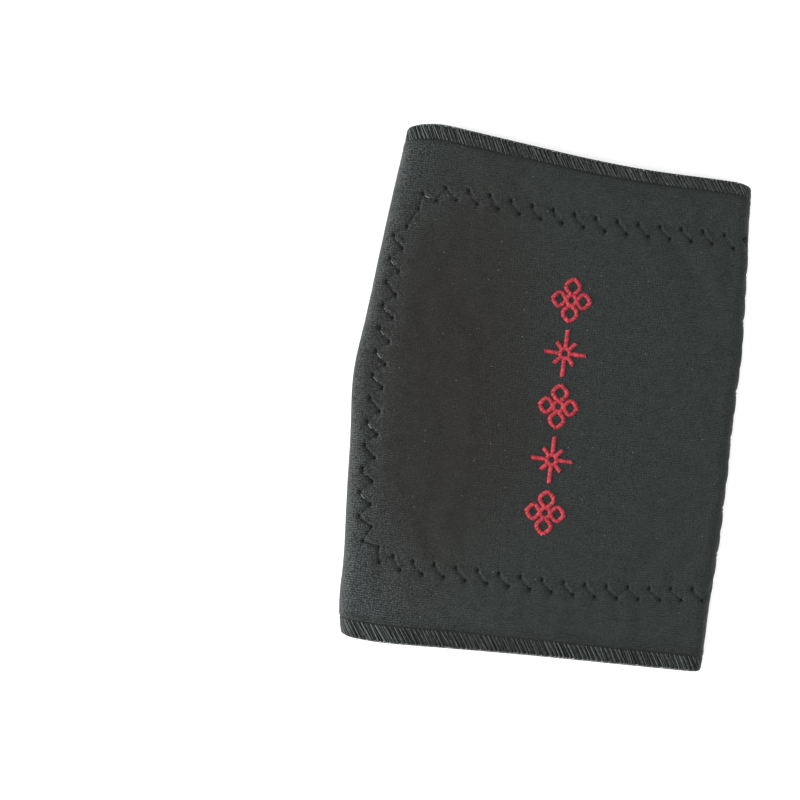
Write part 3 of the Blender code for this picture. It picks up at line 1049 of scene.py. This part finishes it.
def mouthLoop(mouth):
    # distance round a mouth at every quarter of a column
    places = []
    for k in range(4 * columnCount + 1):
        across, _ = columnPlace(k / 4, 0.0)
        y = edgeY(mouth, across, hemDepth(mouth, across) / 2)
        _, walk = columnPlace(k / 4, y)
        places.append(onSleeve(walk, y))
    return lengthsAlong(places)


def columnAt(distance, lengths):
    distance %= lengths[-1]
    k = min(bisect.bisect_right(lengths, distance), len(lengths) - 1) - 1
    return (k + (distance - lengths[k]) / (lengths[k + 1] - lengths[k])) / 4


def onBand(mouth, column, reach, rise):
    # reach runs from the needle line outside, 0, to the edge, 1, and round to the needle line inside, 2
    across, _ = columnPlace(column, 0.0)
    half = overlock["halfBand"] + rise
    depth = hemDepth(mouth, across)
    straight = depth - half
    turnStart = straight / depth
    middle = -form["cloth"] / 2
    if reach < turnStart:
        inset, lift = depth * (1 - reach), middle + half
    elif reach > 2 - turnStart:
        inset, lift = depth * (reach - 1), middle - half
    else:
        turn = (reach - turnStart) / (2 - 2 * turnStart) * math.pi
        inset, lift = half - half * math.sin(turn), middle + half * math.cos(turn)
    y = edgeY(mouth, across, inset)
    _, walk = columnPlace(column, y)
    place = onSleeve(walk, y, lift)
    place.z = max(place.z, overlock["strand"] / 2)
    return place


def slantingPath(mouth, lengths, origin, slope, rise):
    # over the edge, from the needle line outside to the one inside
    path = []
    for step in range(2 * overlock["steps"] + 1):
        reach = step / overlock["steps"]
        fold = reach if reach <= 1 else 2 - reach
        out = smoothStep(min(reach, 2 - reach) / overlock["emerge"])
        column = columnAt(origin + slope * fold, lengths)
        path.append(onBand(mouth, column, reach, rise - overlock["bury"] * (1 - out)))
    return path


def needlePath(mouth, lengths, start, pitch, chance):
    path = []
    for step in range(needleLoop["steps"] + 1):
        share = step / needleLoop["steps"]
        sunk = needleLoop["bury"] * (1 - math.sin(math.pi * share))
        column = columnAt(start + share * pitch, lengths)
        line = needleLoop["line"] + needleLoop["uneven"] * chance.uniform(-1, 1)
        path.append(onBand(mouth, column, line, needleLoop["rise"] - sunk))
    return path


def edgePath(mouth, lengths, start, pitch):
    path = []
    for step in range(edgeLoop["steps"] + 1):
        phase = 2 * math.pi * step / edgeLoop["steps"]
        column = columnAt(start + step * pitch / edgeLoop["steps"], lengths)
        rise = edgeLoop["rise"] + edgeLoop["wave"] * math.cos(phase)
        path.append(onBand(mouth, column, 1 + edgeLoop["swing"] * math.sin(phase), rise))
    return path


def makeOverlock(mouth, node, finish):
    lengths = mouthLoop(mouth)
    count = round(lengths[-1] / overlock["pitch"][mouth])
    pitch = lengths[-1] / count
    lean = -side[mouth] * overlock["lean"]
    chance = random.Random(11 + len(mouth) + side[mouth])
    strands = []
    for k in range(count):
        start = k * pitch
        across, _ = columnPlace(columnAt(start, lengths), 0.0)
        dim = readTable(overlock["light"][mouth], 1, across)
        bright = across < overlock["brightFrom"]
        for shift, leanShare, rise, darkest, lightest in overlock["strands"]:
            origin = start + (shift + chance.uniform(*overlock["unevenShift"])) * pitch
            slope = lean * (leanShare + chance.uniform(*overlock["unevenLean"]))
            rise += chance.uniform(*overlock["unevenRise"]) * mm
            path = slantingPath(mouth, lengths, origin, slope, rise)
            tone = chance.uniform(darkest, lightest) * dim
            strands.append((path, tone, chance.uniform(*overlock["thickness"])))
        path = needlePath(mouth, lengths, start, pitch, chance)
        tone = chance.uniform(*needleLoop["bright" if bright and mouth == "upper" else "dull"])
        strands.append((path, tone, needleLoop["thickness"]))
        path = edgePath(mouth, lengths, start, pitch)
        tone = chance.uniform(*edgeLoop["bright"]) if bright else chance.uniform(*edgeLoop["dull"]) * dim
        strands.append((path, tone, edgeLoop["thickness"]))
    piece = makeThreads(mouth + "Overlock", strands, overlock["strand"], finish)
    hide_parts(node)
    return piece


motif = {
    "width": 19.0 * mm,
    "height": 21.5 * mm,
    "stroke": 1.7 * mm,
    "heart": 0.24,
    "petals": [0, 90, 180, 270],
    "petalSteps": 12,
    "breadth": 0.34,
    "rays": 8,
    "shortRay": 0.66,
    "strand": 0.34 * mm,
    "spacing": 0.27 * mm,
    "rise": 0.78 * mm,
    "slant": 0.35,
    "ragged": (-0.06, 0.12),     # these two in millimetres
    "unevenLie": (-0.05, 0.05),
    "roundness": 2.6,
    "sink": 0.05 * mm,
    "tone": (-0.02, 0.76),
    "thickness": (0.85, 1.15),
    "glints": 0.10,     # share of the threads that catch the light
}
motifKinds = ["flower", "star", "flower", "star", "flower"]


def petalLine(turn):
    # out along one side of a petal and back along the other
    ahead = Vector((math.sin(math.radians(turn)), math.cos(math.radians(turn))))
    aside = Vector((ahead.y, -ahead.x))
    length = abs(ahead.x * motif["width"] / 2 + ahead.y * motif["height"] / 2) - motif["stroke"] / 2
    root = motif["heart"] * motif["width"] / 2
    line = []
    for hand in (1, -1):
        for step in range(motif["petalSteps"]):
            share = step / motif["petalSteps"]
            share = share if hand > 0 else 1 - share
            bow = motif["breadth"] * motif["width"] / 2 * math.sin(math.pi * share)
            line.append(ahead * mix(root, length, share) + aside * hand * bow)
    return line + [line[0]]


def rayLine(k):
    turn = 2 * math.pi * k / motif["rays"]
    ahead = Vector((math.sin(turn) * motif["width"] / 2, math.cos(turn) * motif["height"] / 2))
    reach = 1.0 if k % 2 == 0 else motif["shortRay"]
    return [ahead.normalized() * motif["heart"] * motif["width"] / 2, ahead * reach]


def heartLine():
    radius = motif["heart"] * motif["width"] / 2
    return [Vector((math.sin(turn), math.cos(turn))) * radius
            for turn in (2 * math.pi * k / 16 for k in range(17))]


def satinAlong(line, centre, chance):
    # short threads side by side across a line, each bowed up over the padding
    strands = []
    lengths = lengthsAlong(line)
    count = max(4, round(lengths[-1] / motif["spacing"]))
    k = 0
    for step in range(count):
        distance = lengths[-1] * (step + 0.5) / count
        while distance > lengths[k + 1]:
            k += 1
        heading = (line[k + 1] - line[k]).normalized()
        place = line[k].lerp(line[k + 1], (distance - lengths[k]) / (lengths[k + 1] - lengths[k]))
        across = (Vector((heading.y, -heading.x)) + heading * motif["slant"]).normalized()
        half = motif["stroke"] / 2 + chance.uniform(*motif["ragged"]) * mm
        lie = chance.uniform(*motif["unevenLie"]) * mm
        path = []
        for point in range(7):
            share = point / 3 - 1
            spot = place + across * half * share
            height = motif["rise"] - motif["strand"] / 2 + lie
            height = height * (1 - abs(share) ** motif["roundness"]) - motif["sink"]
            x, y = centre.x + spot.x, centre.y + spot.y
            path.append(onSleeve(x, y, frontLift(x, y) + height))
        tone = 1.0 if chance.random() < motif["glints"] else chance.uniform(*motif["tone"])
        strands.append((path, tone, chance.uniform(*motif["thickness"])))
    return strands


def makeMotif(k, finish):
    low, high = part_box(f"motif_{k + 1}")
    centre = (low + high) / 2
    chance = random.Random(40 + k)
    if motifKinds[k] == "flower":
        lines = [petalLine(turn) for turn in motif["petals"]]
    else:
        lines = [rayLine(ray) for ray in range(motif["rays"])]
    lines.append(heartLine())
    strands = []
    for line in lines:
        strands += satinAlong(line, centre, chance)
    piece = makeThreads(f"{motifKinds[k]}Motif{k + 1}", strands, motif["strand"], finish)
    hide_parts(f"motif_{k + 1}")
    return piece


sleeve = makeSleeve(knitFinish())
print("sleeve done,", len(sleeve.data.polygons), "faces")
zigzagPiece = makeZigzagThread(threadFinish("zigzag"))
print("zigzag thread done,", len(zigzagPiece.data.polygons), "faces")
overlockFinish = threadFinish("overlock")
upper = makeOverlock("upper", "upper_overlock", overlockFinish)
lower = makeOverlock("lower", "lower_overlock", overlockFinish)
print("overlocks done,", len(upper.data.polygons), "and", len(lower.data.polygons), "faces")
redFinish = threadFinish("embroidery")
motifs = [makeMotif(k, redFinish) for k in range(len(motifKinds))]
print("embroidery done,", sum(len(piece.data.polygons) for piece in motifs), "faces")


# Studio: a pale floor, a wide soft light over it and a key light from the left
studio = {
    "floorSize": 6.0,
    "floorBelow": 0.1 * mm,
    "floorColour": (0.88, 0.88, 0.88),
    "floorRoughness": 0.85,
    "worldColour": (1, 1, 1, 1),
    "worldStrength": 0.95,
    # where each light stands, its size and its power
    "topLight": ((0.15, 0.15, 1.3), 1.6, 13.0),
    "keyLight": ((-1.05, -0.40, 0.42), 0.75, 26.0),
    "pixel": 0.462 * mm,      # real size of a pixel of the photograph
    "pictureSide": 800,
    "lean": math.radians(7.07),
    "sleeveMiddle": (543.4, 400.0),   # pixel that the frame's origin falls on
    "distance": 0.85,
}


def makeFloor():
    grid = bmesh.new()
    bmesh.ops.create_grid(grid, x_segments=8, y_segments=8, size=studio["floorSize"] / 2)
    mesh = meshOf(grid, "floor")
    floor = addObject("floor", mesh)
    floor.location.z = -studio["floorBelow"]
    finish = Finish("paleFloor")
    finish.set("Base Color", (*studio["floorColour"], 1.0))
    finish.set("Roughness", studio["floorRoughness"])
    mesh.materials.append(finish.material)


def makeLight(name):
    place, size, power = studio[name]
    light = bpy.data.lights.new(name, "AREA")
    light.shape = "DISK"
    light.size = size
    light.energy = power
    item = addObject(name, light)
    item.location = place
    item.rotation_euler = (-item.location).to_track_quat("-Z", "Y").to_euler()


def makeCamera():
    camera = bpy.data.cameras.new("camera")
    camera.sensor_width = 36.0
    covered = studio["pixel"] * studio["pictureSide"]
    camera.lens = camera.sensor_width * studio["distance"] / covered
    item = addObject("camera", camera)
    half = studio["pictureSide"] / 2
    right = (half - studio["sleeveMiddle"][0]) * studio["pixel"]
    up = -(half - studio["sleeveMiddle"][1]) * studio["pixel"]
    lean = studio["lean"]
    x = right * math.cos(lean) - up * math.sin(lean)
    y = right * math.sin(lean) + up * math.cos(lean)
    item.location = (x, y, studio["distance"] + form["foldRadius"])
    item.rotation_euler = (0, 0, lean)
    bpy.context.scene.camera = item


makeFloor()
world = bpy.data.worlds.new("softRoom")
world.use_nodes = True
background = world.node_tree.nodes["Background"]
background.inputs["Color"].default_value = studio["worldColour"]
background.inputs["Strength"].default_value = studio["worldStrength"]
bpy.context.scene.world = world
makeLight("topLight")
makeLight("keyLight")
bpy.context.scene.view_settings.view_transform = "Standard"
makeCamera()
print("studio done")
